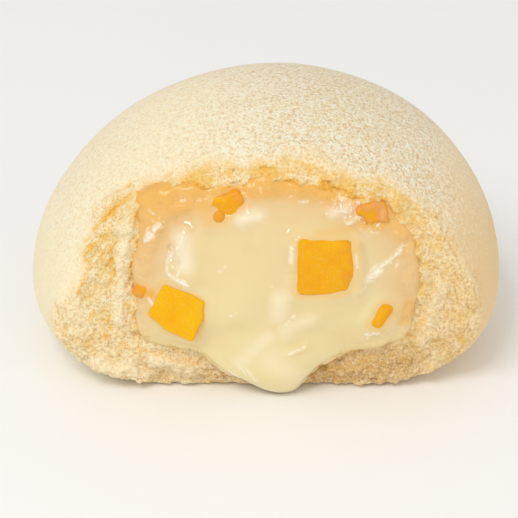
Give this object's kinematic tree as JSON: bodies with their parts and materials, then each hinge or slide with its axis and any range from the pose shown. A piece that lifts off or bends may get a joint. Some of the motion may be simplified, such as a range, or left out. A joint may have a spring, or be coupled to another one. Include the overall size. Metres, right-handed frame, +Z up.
{
  "type": "filled sponge cake",
  "caption": "Domed sponge cake torn open at the front, with a soft custard filling that runs out over the lower lip and diced fruit in the custard.",
  "frame": {"origin": "on the flat base, under the middle of the dome's waist", "axes": "+X to the right as one looks at the torn face, -Y out of the torn face towards the viewer, +Z up"},
  "size_m": [0.0739, 0.0605, 0.0426],
  "materials": {
    "crumb": "soft matt sponge, fine open pores",
    "custard": "wet, translucent pale yellow",
    "diced_fruit": "wet, translucent orange yellow"
  },
  "bodies": {
    "root": {"sponge": "crumb", "custard": "custard", "fruit_cube_right": "diced_fruit", "fruit_cube_left": "diced_fruit", "fruit_chunk_top_left": "diced_fruit", "fruit_chunk_top_right": "diced_fruit", "fruit_bit_right": "diced_fruit", "fruit_bit_left": "diced_fruit"}
  },
  "joints": []
}
